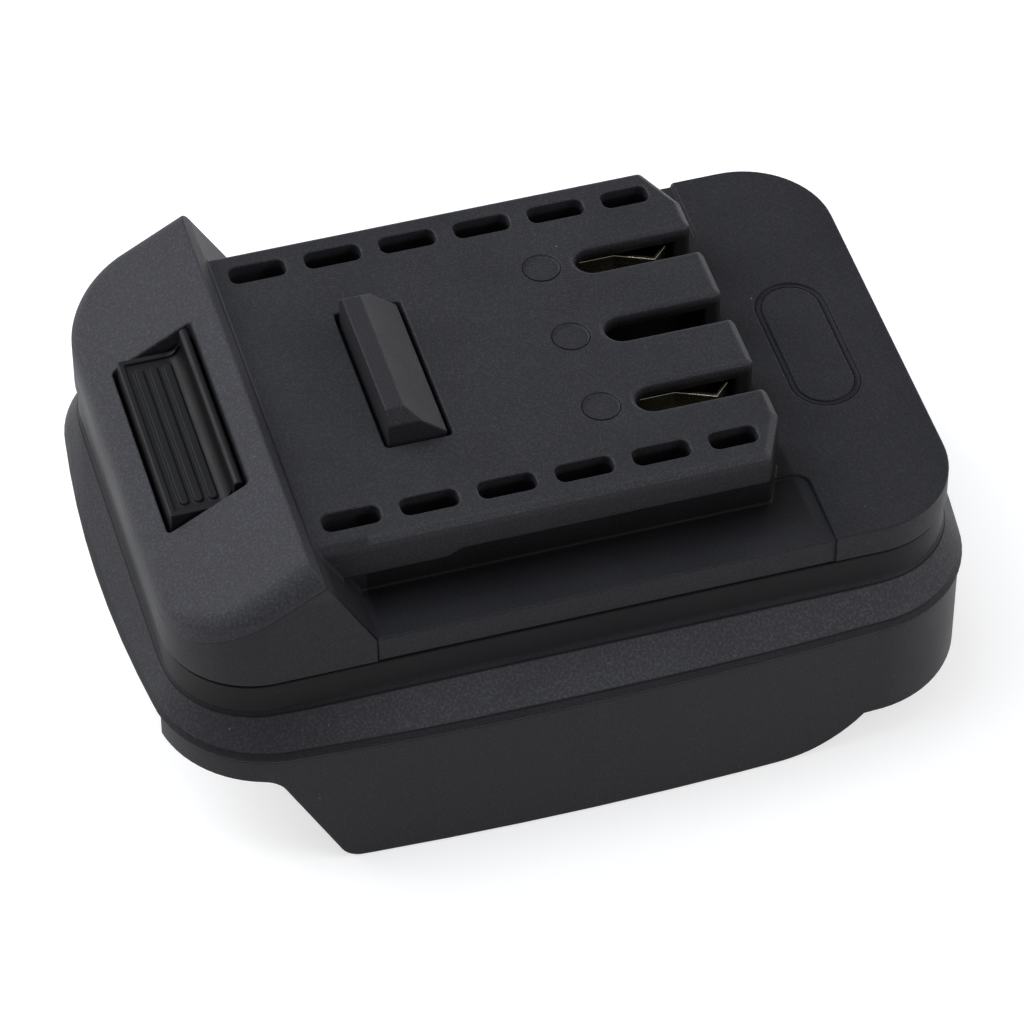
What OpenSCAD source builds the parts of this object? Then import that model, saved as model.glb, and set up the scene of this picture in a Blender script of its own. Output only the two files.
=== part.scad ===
// Battery adapter for cordless tools.
// The top copies a slide-in battery: rail plate, lock hook, terminal slots and release button.
// The underside is a channel with side lips that takes another slide-in battery.
// X runs along the rails, Y across them, Z up. The origin is under the middle, at the feet.

/* [Body] */
// Length over the belt edge, the widest line of the body
body_l = 110.2; // [108:0.2:116]
// Width over the belt edge
body_w = 78.6; // [77:0.2:86]
// Corner radius of the belt edge in plan
belt_corner_r = 15.5; // [13:0.5:18]
// How far both ends of the belt bow out
end_bow = 1.6; // [0.8:0.1:2.4]
// How far both sides of the belt bow out
side_bow = 1.4; // [0.6:0.1:2]
// Width of the upper housing
deck_w = 68.2; // [67:0.2:71]
// Corner radius of the upper housing in plan
deck_corner_r = 12; // [9:0.5:14]
// Step in from the belt to the upper housing at the button end
button_end_inset = 3.4; // [2.6:0.1:5]
// Step in from the belt to the upper housing at the deck end
deck_end_inset = 3.9; // [3:0.1:5]
// Wall thickness of both housings
wall = 2.4; // [2:0.1:2.8]
// Step in from the upper housing to the wall below the seam
rim_inset = 0.3; // [0.1:0.1:0.8]

/* [Heights] */
// Belt edge above the feet
belt_h = 20.5; // [19.5:0.1:23]
// Height of the flared band above the belt edge
band_h = 5.5; // [5:0.1:8]
// Height of the plain wall between the band and the seam
rim_h = 5.1; // [4.6:0.1:8]
// Height of the deck above the seam
deck_h = 4.4; // [4:0.1:6]
// Height of the rail plate above the deck
rail_h = 10.2; // [9.6:0.1:13]
// Height of the shoulder ridge above the rail plate
ridge_h = 3.4; // [2.4:0.1:5]
// Depth and height of the shadow line at the seam
seam_step = 0.4; // [0.2:0.1:0.8]

/* [Shoulder] */
// Distance from the button end of the upper housing to the ridge
ridge_x = 17.2; // [16.4:0.1:19]
// Fall of the shoulder face from the ridge to the button end, in degrees
slope_a = 30; // [24:1:33]
// Lean of the ramp below the ridge from upright, in degrees
ramp_a = 29; // [18:1:32]
// Rolled edge round the shoulder face
shoulder_roll = 3.4; // [2:0.1:4.4]
// Corner radius of the shoulder face
shoulder_corner_r = 11.6; // [10.6:0.1:11.8]

/* [Rail plate] */
// Width of the rail plate
rail_w = 54.6; // [53.4:0.2:58]
// Width of the neck under the rail plate
neck_w = 50.6; // [50:0.1:52]
// Distance from the deck end of the upper housing to the end of the rail plate
rail_end = 21.9; // [20:0.1:25]
// Thickness of the rail flange
flange_t = 4.9; // [4:0.1:5.4]
// Thickness of the rail flange next to the shoulder
flange_thick_t = 5.9; // [5.6:0.1:7]
// Length of the thicker flange past the first slot centre
flange_thick_l = 13; // [6:0.5:24]
// Length of the slanted end of the thicker flange
flange_slant = 2; // [0.5:0.1:4]
// Corner cut of the rail plate along X
rail_cut_x = 3.3; // [1:0.1:4]
// Corner cut of the rail plate along Y
rail_cut_y = 7; // [3:0.2:8]
// Bevel along the top edges of the rail plate
rail_bevel = 0.9; // [0.4:0.1:1.4]
// Thickness of the plate over the hollow neck
plate_t = 2.6; // [2:0.1:3.2]
// Depth of the floor beside the neck below the deck
recess_d = 0.5; // [0.3:0.1:0.9]
// Distance from the end of the rail plate to the deck step
recess_past = 3.4; // [2.6:0.1:5]
// Corner radius of the deck step
recess_r = 2; // [0.6:0.1:2.4]
// Step in of the side wall below the lower floor
recess_step = 0.2; // [0.1:0.05:0.4]

/* [Core-out slots] */
// Spacing of the slots along a rail
slot_pitch = 10; // [9.2:0.1:10.2]
// Slots along each rail
slot_n = 6; // [3:1:6]
// Length of a slot
slot_l = 7.4; // [5:0.1:8]
// Length of the slot at the plate end
slot_last_l = 6.2; // [4:0.1:6.4]
// Distance from the end of the plate to the end of the last slot
slot_last_gap = 3.7; // [2.4:0.1:4]
// Width of a slot
slot_w = 3; // [2:0.1:3.1]
// Corner radius of a slot
slot_r = 1.1; // [0.5:0.1:1.3]
// Distance between the two rows
slot_rows = 45.7; // [45:0.1:45.8]
// Depth of a slot
slot_d = 4.5; // [3:0.1:6]
// Distance from the end of the plate to the centre of the first slot
slot_first = 56.2; // [55:0.1:57]
// Wall between a slot and the hollow neck
core_wall = 1; // [0.8:0.1:1.6]

/* [Terminal slots] */
// Spacing of the three terminal slots
term_pitch = 13.05; // [12.6:0.05:13.3]
// Width of a terminal slot
term_w = 4.4; // [4.2:0.1:5]
// Length of a terminal slot from the end of the plate
term_l = 16.4; // [15:0.1:17.6]
// Bevel round the mouth of a terminal slot
term_bevel = 0.7; // [0.3:0.1:0.9]
// Radius of the round marks beside the slots
mark_r = 2.4; // [1.5:0.1:3]
// Depth of the round marks
mark_d = 0.25; // [0.1:0.05:0.5]
// Distance from the slot end to the centre of its mark
mark_gap = 4.6; // [3.4:0.1:6]

/* [Deck oval] */
// Length of the plain oval on the deck
oval_l = 23; // [16:0.5:28]
// Width of the plain oval
oval_w = 9.2; // [6:0.2:11]
// Width of the groove that draws the oval
oval_line = 0.7; // [0.4:0.1:1.2]
// Depth of the groove
oval_d = 0.35; // [0.2:0.05:0.8]
// Distance from the end of the deck to the middle of the oval
oval_x = 10.8; // [9:0.1:12]

/* [Latch] */
// Width of the lock hook
hook_w = 23.7; // [18:0.1:26]
// Length of the lock hook along the rails
hook_l = 7.6; // [6.6:0.1:9]
// Height of the lock hook above the rail plate
hook_h = 4.5; // [3:0.1:4.7]
// Flat top of the lock hook
hook_flat = 2.4; // [1:0.1:3.4]
// Chamfer at each end of the lock hook
hook_chamfer = 1.6; // [0.6:0.1:2.4]
// Distance from the first slot centre to the steep face of the hook
hook_x = 7.9; // [7:0.1:11]
// Travel of the latch when the button is pressed
latch_travel = 5; // [4.8:0.1:5.2]
// Gap round the hook and the button
latch_gap = 0.6; // [0.4:0.05:0.8]
// Thickness of the latch arm
arm_t = 3; // [2.4:0.1:3.4]
// Top of the latch arm below the deck line
arm_drop = 0.4; // [0:0.1:0.8]
// Length of the guide walls beside the latch
guide_l = 8; // [5:0.1:10]

/* [Button] */
// Size of the button opening across the slope
button_l = 29.5; // [26:0.1:30.5]
// Size of the button opening down the slope
button_w = 10.6; // [9.8:0.1:10.8]
// Distance from the button end of the upper housing to the opening
button_x = 3.4; // [3.2:0.1:4]
// Height of the button edge above the shoulder face at its low side
button_proud = 1.9; // [0.9:0.1:2.4]
// Width of the rim round the button
button_rim = 0.8; // [0.5:0.1:1.2]
// Depth of the dish inside the rim
dish_d = 0.5; // [0.2:0.1:0.8]
// Thickness of the wall at the high side of the button
button_wall = 1.2; // [0.9:0.1:1.6]
// Radius of the scoop in the button
scoop_r = 1.9; // [1.2:0.1:2.2]
// Ribs across the button
rib_n = 3; // [1:1:3]
// Width of a rib
rib_w = 1.15; // [0.7:0.05:1.4]
// Spacing of the ribs
rib_pitch = 1.85; // [1.6:0.05:2]
// Distance from the low edge of the button to the first rib
rib_x = 2.3; // [1.8:0.1:2.6]
// Distance from the ends of the button to the ends of the ribs
rib_end = 1.8; // [1.4:0.1:4]
// Height of a rib
rib_h = 0.35; // [0.2:0.05:0.5]

/* [Spring] */
// Coil diameter of a latch spring
spring_d = 6; // [5.4:0.1:6.6]
// Wire diameter of a latch spring
wire_d = 0.8; // [0.6:0.05:0.9]
// Turns of a latch spring
spring_turns = 5; // [4:1:6]
// Distance between the two latch springs
spring_pitch = 17; // [14:0.5:19]
// Gap between a spring and the peg inside it
peg_gap = 0.5; // [0.4:0.05:0.6]
// Height of the peg inside each end of a spring
peg_h = 2.6; // [1.6:0.1:2.8]

/* [Channel] */
// Width between the lips of the channel
channel_w = 50; // [48:0.2:51]
// Width between the rail grooves over the lips
groove_w = 57; // [55:0.2:57.6]
// Thickness of a lip
lip_h = 4.5; // [3.6:0.1:5]
// Height of a rail groove
groove_h = 8; // [7:0.1:8.6]
// Thickness of the floor between the channel and the inside
floor_t = 3; // [2.6:0.1:3.4]
// Skirt height below the belt at the button end
skirt_button_h = 4; // [3.4:0.1:6]
// Skirt height below the belt at the deck end
skirt_deck_h = 15.5; // [13:0.1:16.2]
// Step in from the belt edge to the skirt
belt_step = 0.4; // [0.2:0.1:0.8]
// Distance from the button end of the belt to the foot of a cheek
cheek_x = 22.8; // [21:0.1:26]
// Length of the slanted front edge of a cheek
cheek_slant = 8.5; // [6:0.1:10]
// Length of the straight foot of a cheek
cheek_l = 57.1; // [52:0.1:58]
// Radius of the toe of a cheek
cheek_toe_r = 3; // [1:0.1:5]
// Radius where the slanted front edge of a cheek meets the skirt
cheek_root_r = 3; // [1:0.1:4]
// Radius at the back of a cheek
cheek_r = 16.7; // [16:0.1:18]
// Distance from the deck end of the belt to the stop at the end of the channel
stop_x = 11.1; // [10.6:0.1:12.6]
// Width of the hollow at the deck end
end_hollow_w = 46; // [30:0.5:47]
// Length of the pocket for the other battery's lock
lock_pocket_l = 9; // [6:0.1:12]
// Width of the pocket for the other battery's lock
lock_pocket_w = 22; // [14:0.1:26]
// Depth of the pocket for the other battery's lock
lock_pocket_d = 1.6; // [1:0.1:1.8]

/* [Terminals] */
// Thickness of the contact carrier
carrier_t = 4; // [3:0.1:4.6]
// Length of the carrier behind the terminal slots
carrier_back = 9; // [8:0.1:10]
// Thickness of a fork contact
fork_t = 0.6; // [0.4:0.05:0.7]
// Height of a fork contact
fork_h = 7.3; // [5.6:0.1:7.4]
// Width of a fork contact at its back
fork_w = 6; // [5:0.1:7]
// Gap between the two leaves where they grip
fork_grip = 0.4; // [0.3:0.05:0.8]
// Gap between the two leaves at the mouth
fork_mouth = 4.6; // [3:0.1:4.8]
// Distance from the end of the plate to the grip
fork_grip_x = 5.6; // [5:0.1:7]
// Distance from the end of the plate to the mouth of the fork
fork_mouth_x = 3.5; // [3:0.1:4.4]
// Length over which the two leaves close to the grip
fork_close_l = 4.9; // [3:0.1:6]
// Length of the fork behind the terminal slot
fork_back = 1.5; // [1:0.1:2]
// Width of the tabs that take the leads
tab_w = 4; // [3:0.1:4.4]
// Thickness of a terminal blade
blade_t = 1; // [0.8:0.05:1.2]
// Height of a terminal blade
blade_h = 6.4; // [5:0.1:6.8]
// Free length of a terminal blade
blade_l = 14; // [10:0.1:16]
// Spacing of the two terminal blades
blade_pitch = 26; // [25:0.1:26.6]
// Length of the terminal block along the rails
block_l = 12; // [11:0.1:13]
// Width of the terminal block over its ears
block_w = 44; // [42:0.1:46]
// Width of the terminal block between its ears
block_body_w = 32; // [30.6:0.1:32.6]
// Height of the terminal block
block_h = 11; // [10.2:0.1:11.5]
// Thickness of the ears of the terminal block
ear_t = 4; // [3:0.1:5]
// Thickness of the block under the blades
block_floor = 2.2; // [1.4:0.1:2.8]
// Diameter of the wire leads
lead_d = 2.4; // [1.8:0.1:2.6]
// Sideways bow of the wire leads
lead_bow = 1.6; // [0.5:0.1:2.2]
// Thickness of the sleeves on the leads
sleeve_t = 0.5; // [0.3:0.05:0.7]
// Length of the sleeves on the leads
sleeve_l = 4; // [3:0.1:4.6]
// Length of the solder at each end of a lead
solder_l = 0.8; // [0.6:0.1:1]

/* [Screws] */
// Thread diameter of the housing screws
screw_d = 3; // [2.6:0.1:3.4]
// Head diameter of the housing screws
screw_head_d = 5.6; // [5.2:0.1:6]
// Length of the housing screws
screw_l = 12; // [10:0.1:12.6]
// Seat of the screw heads above the floor
screw_seat = 0.6; // [0.3:0.1:1]
// Height of the screw bosses on the floor
boss_h = 4; // [3:0.1:4.6]
// Diameter of the screw bosses
boss_d = 8; // [7.4:0.1:8.4]
// Distance across between the housing screws
screw_pitch = 43; // [42:0.1:44]
// Distance from the button end of the upper housing to the front screws
screw_front_x = 13.4; // [12:0.1:14]
// Distance from the end of the plate to the back screws
screw_back_x = 14; // [13:0.1:20]
// Thread diameter of the inner screws
small_screw_d = 2.2; // [2:0.1:2.4]
// Head diameter of the inner screws
small_head_d = 4.2; // [3.8:0.1:4.4]
// Length of the inner screws
small_screw_l = 8; // [7:0.1:8.4]
// Diameter of the bosses for the inner screws
small_boss_d = 5; // [4.4:0.1:5.4]
// Thickness of the ribs inside the housings
rib_t = 1.6; // [1.2:0.1:1.8]

/* [Fits] */
// Running gap of the latch in its guides
slide_gap = 0.3; // [0.25:0.05:0.4]
// Gap round pieces that drop into a pocket
fit_gap = 0.2; // [0.1:0.05:0.3]
// Gap round a screw in its hole
screw_gap = 0.15; // [0.1:0.05:0.25]

/* [Hidden] */
$fn = 64;
// How far a cut runs past the face it opens
past = 1;
// Reach of the half spaces used for trimming
reach = 200;
// Overlap of the belt's round corners with its bowed sides
corner_lap = 0.03;
// How far below the rolled edge of the shoulder the full outline starts
roll_past = 0.2;
// Hair's breadth: step to which a computed length is rounded, and lap of faces that would only touch
size_step = 0.02;
// Chords along each bowed side of the belt
bow_steps = 8;
// Rings in one turn of a spring, and sides of its wire
turn_rings = 12;
wire_sides = 6;
// Rings along a lead, and its sides
lead_rings = 16;
lead_sides = 10;

charcoal = "#2b2b2e";
gloss_black = "#17171a";
bronze = "#d8c48a";
tin = "#b9bcc0";
red = "#a3201c";
black = "#1c1c1e";

// Levels above the feet
band_z = belt_h + band_h;
seam_z = band_z + rim_h;
deck_z = seam_z + deck_h;
recess_z = deck_z - recess_d;
plate_z = deck_z + rail_h;
ridge_z = plate_z + ridge_h;
floor_z = belt_h;
ceiling_z = floor_z - floor_t;
plate_under_z = plate_z - plate_t;
deck_under_z = recess_z - wall;

// Ends along X
belt_x0 = -body_l / 2;
belt_x1 = body_l / 2;
deck_x0 = belt_x0 + button_end_inset;
deck_x1 = belt_x1 - deck_end_inset;
ridge_px = deck_x0 + ridge_x;
plate_x1 = deck_x1 - rail_end;
slot_x0 = plate_x1 - slot_first;
ramp_run = tan(ramp_a);
stop_px = belt_x1 - stop_x;
toe_x = belt_x0 + cheek_x;
heel_x = toe_x + cheek_l;
term_x0 = plate_x1 - term_l;

// Hollows of the neck and of the upper housing
neck_in = slot_rows - slot_w - 2 * core_wall;
hollow_w = deck_w - 2 * wall;

// Latch places
hook_px = slot_x0 + hook_x;
button_px = deck_x0 + button_x;
button_x0 = button_px + latch_gap;
button_x1 = button_px + button_w - latch_gap;
button_in_l = button_l - 2 * latch_gap;
arm_z = deck_z - arm_drop;
arm_under_z = arm_z - arm_t;
arm_x1 = hook_px + hook_l;
spring_x = (button_px + button_w + hook_px) / 2;
peg_d = spring_d - 2 * wire_d - 2 * peg_gap;
spring_gap = slide_gap / 3;

// Contact, block and screw places
carrier_z = deck_z;
carrier_under_z = carrier_z - carrier_t;
carrier_x0 = term_x0 - carrier_back;
carrier_screw_x = term_x0 - carrier_back / 2 - fork_back;
fork_x0 = term_x0 - fork_back;
block_x0 = stop_px - block_l;
block_z = ceiling_z - block_h;
blade_z = block_z + block_floor;
tab_x = block_x0 + block_l / 2;
ear_y = (block_w + block_body_w) / 4;
boss_z = floor_z + boss_h;
seat_z = floor_z + screw_seat;
lead_z = boss_z;
screw_front = deck_x0 + screw_front_x;
screw_back = plate_x1 - screw_back_x;
lead_x0 = fork_x0 + fork_t;
lead_x1 = tab_x - tab_w / 2;

function slope_z(x) = ridge_z - tan(slope_a) * (ridge_px - x);
function ramp_x(z) = ridge_px + ramp_run * (ridge_z - z);
foot_x = ramp_x(recess_z);

// Lead from the fork tab to the blade tab, with a slack bow between straight ends
function lead_path(s) =
    let (run = lead_x1 - lead_x0 - 2 * sleeve_l, y0 = s * term_pitch, y1 = s * blade_pitch / 2)
    concat([[lead_x0, y0, lead_z]],
           [for (i = [0 : lead_rings])
               let (t = i / lead_rings, bow = s * lead_bow * (1 - cos(360 * t)) / 2)
               [lead_x0 + sleeve_l + run * t, y0 + (y1 - y0) * t + bow, lead_z]],
           [[lead_x1, y1, lead_z]]);

// Rounded rectangle from x0 to x1
module plan(x0, x1, w, r) {
    for (x = [x0 + r, x1 - r], y = [-1, 1])
        translate([x, y * (w / 2 - r)]) circle(r);
    translate([x0, -(w / 2 - r)]) square([x1 - x0, w - 2 * r]);
    translate([x0 + r, -w / 2]) square([x1 - x0 - 2 * r, w]);
}

// Slot shape with round ends, centred, along X
module stadium(l, w) {
    square([l - w, w], center = true);
    for (s = [-1, 1]) translate([s * (l - w) / 2, 0]) circle(w / 2);
}

// Points along an arc, in chords
function arc(centre, r, a0, a1) = [for (i = [0 : bow_steps])
    let (a = a0 + (a1 - a0) * i / bow_steps) centre + r * [cos(a), sin(a)]];

// Belt outline taken in by a distance: four bowed sides that run smoothly into round corners
module belt_plan(inset = 0) {
    corner_x = body_l / 2 - belt_corner_r - end_bow;
    corner_y = body_w / 2 - belt_corner_r - side_bow;
    end_r = belt_corner_r + (corner_y * corner_y + end_bow * end_bow) / (2 * end_bow);
    side_r = belt_corner_r + (corner_x * corner_x + side_bow * side_bow) / (2 * side_bow);
    end_a = asin(corner_y / (end_r - belt_corner_r));
    side_a = asin(corner_x / (side_r - belt_corner_r));
    end_c = [body_l / 2 - end_r, 0];
    side_c = [0, body_w / 2 - side_r];
    polygon(concat(arc(end_c, end_r - inset, -end_a, end_a),
                   arc(side_c, side_r - inset, 90 - side_a, 90 + side_a),
                   arc(-end_c, end_r - inset, 180 - end_a, 180 + end_a),
                   arc(-side_c, side_r - inset, 270 - side_a, 270 + side_a)));
    for (x = [-1, 1], y = [-1, 1])
        translate([x * corner_x, y * corner_y]) circle(belt_corner_r + corner_lap - inset);
}

// Slab whose top edge is rolled all round, the corners as parts of a ring
module rolled_slab(x0, x1, w, h, r, e) {
    module edge(half) {
        translate([-half, 0]) square([2 * half, h - e]);
        translate([-half + e, 0]) square([2 * (half - e), h]);
        for (s = [-1, 1]) translate([s * (half - e), h - e]) circle(e);
    }
    for (x = [x0 + r, x1 - r], y = [-1, 1])
        translate([x, y * (w / 2 - r), 0])
            rotate_extrude() intersection() {
                edge(r);
                square([r, h]);
            }
    translate([x0 + r, 0, 0]) rotate([90, 0, 90]) linear_extrude(x1 - x0 - 2 * r) edge(w / 2);
    translate([(x0 + x1) / 2, w / 2 - r, 0]) rotate([90, 0, 0])
        linear_extrude(w - 2 * r) edge((x1 - x0) / 2);
}

// Shape in the XZ plane carried across Y, centred
module across(w) {
    translate([0, w / 2, 0]) rotate([90, 0, 0]) linear_extrude(w) children();
}

// Shape in the YZ plane carried along X from x0 to x1
module along(x0, x1) {
    translate([x0, 0, 0]) rotate([90, 0, 90]) linear_extrude(x1 - x0) children();
}

// Box from its low to its high corner
module box(low, high) {
    translate(low) cube(high - low);
}

// The same on both sides of the middle
module both_sides() {
    children();
    mirror([0, 1, 0]) children();
}

// Tilts children from level to the shoulder face, with the ridge at their origin
module on_slope() {
    translate([ridge_px, 0, ridge_z]) rotate([0, -slope_a, 0]) children();
}

// Pan-head screw pointing up, seat of the head at z = 0, with a cross recess
module screw(d, head_d, length) {
    // Proportions of the head and of the point
    head_h = head_d * 0.38;
    top_r = head_d * 0.34;
    side_h = head_h * 0.45;
    cross_l = head_d * 0.54;
    cross_w = head_d * 0.16;
    cross_d = head_h * 0.6;
    tip_d = d * 0.3;
    difference() {
        union() {
            rotate_extrude()
                polygon([[0, -head_h], [top_r, -head_h], [head_d / 2, -side_h], [head_d / 2, 0], [0, 0]]);
            cylinder(h = length - d / 2, d = d);
            translate([0, 0, length - d / 2]) cylinder(h = d / 2, d1 = d, d2 = tip_d);
        }
        for (a = [0, 90]) rotate(a)
            translate([-cross_l / 2, -cross_w / 2, -head_h - past]) cube([cross_l, cross_w, past + cross_d]);
    }
}

module housing_screw_places() {
    for (x = [screw_front, screw_back], s = [-1, 1])
        translate([x, s * screw_pitch / 2, 0]) children();
}

module carrier_screw_places() {
    for (s = [-1, 1])
        translate([carrier_screw_x, s * term_pitch / 2, 0]) children();
}

module block_screw_places() {
    for (s = [-1, 1])
        translate([tab_x, s * ear_y, 0]) children();
}

// Upper part of the body above the seam, without the rail plate
module deck_block(top) {
    translate([0, 0, seam_z]) linear_extrude(top - seam_z)
        plan(deck_x0, deck_x1, deck_w, deck_corner_r);
}

// Raised end that carries the button: a sloping face with a rolled edge, cut off by the ramp
module shoulder() {
    // Length down the slope that leaves the rolled edge tangent to the end wall, rounded up a hair
    tangent_run = ridge_x - shoulder_roll + shoulder_roll * sin(slope_a);
    tangent_l = shoulder_roll + tangent_run / cos(slope_a);
    slope_l = ceil(tangent_l / size_step) * size_step;
    tangent_z = ridge_z - (slope_l - shoulder_roll) * sin(slope_a) - shoulder_roll * cos(slope_a);
    intersection() {
        deck_block(ridge_z + past);
        across(deck_w + past)
            polygon([[deck_x0 - past, seam_z], [foot_x, seam_z], [foot_x, recess_z],
                     [ramp_x(ridge_z + past), ridge_z + past], [deck_x0 - past, ridge_z + past]]);
        union() {
            // The slab reaches a hair past the side walls, which cut it clean
            on_slope() translate([0, 0, -body_l])
                rolled_slab(-slope_l, slope_l, deck_w + 2 * size_step, body_l, shoulder_corner_r,
                            shoulder_roll);
            // Full outline below the rolled edge
            box([deck_x0 - past, -deck_w, seam_z - past], [foot_x, deck_w, tangent_z]);
            on_slope() box([-body_l, -deck_w, -body_l], [body_l, deck_w, -shoulder_roll - roll_past]);
        }
    }
}

// Outline of the rail plate with cut corners at its free end
module plate_plan(x0) {
    half = rail_w / 2;
    polygon([[x0, -half], [plate_x1 - rail_cut_x, -half], [plate_x1, -half + rail_cut_y],
             [plate_x1, half - rail_cut_y], [plate_x1 - rail_cut_x, half], [x0, half]]);
}

// T-shaped rail: neck, flange with bevelled edges, thicker flange next to the shoulder
module rail() {
    half = rail_w / 2;
    root_x = ridge_px + ramp_run;
    thick_x1 = slot_x0 + flange_thick_l;
    bevel = rail_bevel * sqrt(2);
    cut_l = norm([rail_cut_x, rail_cut_y]);
    difference() {
        union() {
            translate([0, 0, recess_z - past]) linear_extrude(plate_z - recess_z + past) intersection() {
                plate_plan(root_x);
                translate([root_x, -neck_w / 2]) square([plate_x1 - root_x, neck_w]);
            }
            translate([0, 0, plate_z - flange_t]) linear_extrude(flange_t) plate_plan(root_x);
            across(rail_w)
                polygon([[root_x, plate_z], [root_x, plate_z - flange_thick_t],
                         [thick_x1 - flange_slant, plate_z - flange_thick_t],
                         [thick_x1, plate_z - flange_t], [thick_x1, plate_z]]);
        }
        along(root_x - past, plate_x1 + past) for (s = [-1, 1])
            translate([s * half, plate_z]) rotate(45) square(bevel, center = true);
        across(rail_w) translate([plate_x1, plate_z]) rotate(45) square(bevel, center = true);
        both_sides() translate([plate_x1, half - rail_cut_y, plate_z])
            rotate(atan2(rail_cut_y, -rail_cut_x)) rotate([45, 0, 0])
                translate([-bevel, -bevel / 2, -bevel / 2]) cube([cut_l + 2 * bevel, bevel, bevel]);
    }
}

// Lower floor on both sides of the neck, ending in a step up to the deck, with the wall below set in
module side_recesses() {
    end_x = plate_x1 + recess_past;
    both_sides() {
        translate([0, 0, recess_z]) linear_extrude(recess_d + past) {
            translate([ridge_px, neck_w / 2 - recess_past]) square([end_x - recess_r - ridge_px, deck_w]);
            translate([ridge_px, neck_w / 2 - recess_past + recess_r]) square([end_x - ridge_px, deck_w]);
            translate([end_x - recess_r, neck_w / 2 - recess_past + recess_r]) circle(recess_r);
        }
        box([foot_x, deck_w / 2 - recess_step, seam_z - past], [end_x, deck_w / 2 + past, deck_z + past]);
    }
}

// Room inside the upper housing: under the deck, in the neck and under the shoulder
module top_hollow() {
    inner_x0 = deck_x0 + wall;
    inner_drop = wall / cos(slope_a);
    inner_back = wall / cos(ramp_a);
    peak_x = ridge_px + (ramp_run * inner_drop - inner_back) / (1 + ramp_run * tan(slope_a));
    translate([0, 0, seam_z - past]) linear_extrude(deck_under_z - seam_z + past)
        plan(inner_x0, deck_x1 - wall, hollow_w, deck_corner_r - wall);
    box([ridge_px, -neck_in / 2, seam_z - past], [plate_x1 - wall, neck_in / 2, plate_under_z]);
    intersection() {
        translate([0, 0, seam_z - past]) linear_extrude(ridge_z - seam_z)
            plan(inner_x0, deck_x1 - wall, hollow_w, deck_corner_r - wall);
        across(hollow_w)
            polygon([[inner_x0 - past, seam_z - past], [ramp_x(seam_z - past) - inner_back, seam_z - past],
                     [peak_x, slope_z(peak_x) - inner_drop],
                     [inner_x0 - past, slope_z(inner_x0 - past) - inner_drop]]);
    }
}

// Bosses, bay walls, latch guides and latch stops inside the upper housing
module top_ribs() {
    guide_y = button_in_l / 2 + slide_gap;
    root_z = plate_z - plate_t / 2;
    housing_screw_places() translate([0, 0, boss_z]) cylinder(h = recess_z - wall / 2 - boss_z, d = boss_d);
    intersection() {
        housing_screw_places() translate([0, 0, boss_z]) cylinder(h = ridge_z - boss_z, d = boss_d);
        box([-reach, -reach, 0], [ridge_px, reach, reach]);
        on_slope() translate([-reach, -reach, -reach - wall / 2]) cube([2 * reach, 2 * reach, reach]);
    }
    carrier_screw_places() translate([0, 0, carrier_z]) cylinder(h = root_z - carrier_z, d = small_boss_d);
    both_sides() {
        translate([0, term_pitch / 2 - rib_t / 2, 0])
            box([term_x0, 0, carrier_z], [plate_x1 - wall / 2, rib_t, root_z]);
        translate([spring_x, guide_y, 0]) {
            box([-guide_l / 2, 0, arm_under_z - latch_travel], [guide_l / 2, rib_t, root_z]);
            box([-rib_t / 2, -guide_l / 2, arm_z + slide_gap], [rib_t / 2, rib_t, root_z]);
        }
    }
}

// Terminal slot open at the end of the plate, with a bevelled mouth
module terminal_slot() {
    half = term_w / 2;
    box([term_x0 + half, -half, deck_z], [plate_x1 + past, half, plate_z + past]);
    translate([term_x0 + half, 0, deck_z]) cylinder(h = rail_h + past, r = half);
    translate([term_x0 + half, 0, plate_z - term_bevel])
        cylinder(h = 2 * term_bevel, r1 = half, r2 = half + 2 * term_bevel);
    // The same bevel down both edges at the end of the plate
    flare = half + term_bevel + past;
    translate([0, 0, deck_z]) linear_extrude(rail_h + past)
        polygon([[plate_x1 - term_bevel, -half], [plate_x1 + past, -flare], [plate_x1 + past, flare],
                 [plate_x1 - term_bevel, half]]);
    along(term_x0 + half, plate_x1 + past)
        polygon([[-half, plate_z - term_bevel], [half, plate_z - term_bevel],
                 [half + 2 * term_bevel, plate_z + term_bevel],
                 [-half - 2 * term_bevel, plate_z + term_bevel]]);
}

module core_slots() {
    last_x = plate_x1 - slot_last_gap;
    for (s = [-1, 1]) translate([0, s * slot_rows / 2, plate_z - slot_d]) linear_extrude(slot_d + past) {
        for (i = [0 : slot_n - 2]) translate([slot_x0 + i * slot_pitch, 0])
            plan(-slot_l / 2, slot_l / 2, slot_w, slot_r);
        plan(last_x - slot_last_l, last_x, slot_w, slot_r);
    }
}

module deck_oval() {
    translate([deck_x1 - oval_x, 0, deck_z - oval_d]) rotate(90) linear_extrude(oval_d + past)
        difference() {
            stadium(oval_l, oval_w);
            stadium(oval_l - 2 * oval_line, oval_w - 2 * oval_line);
        }
}

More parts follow.
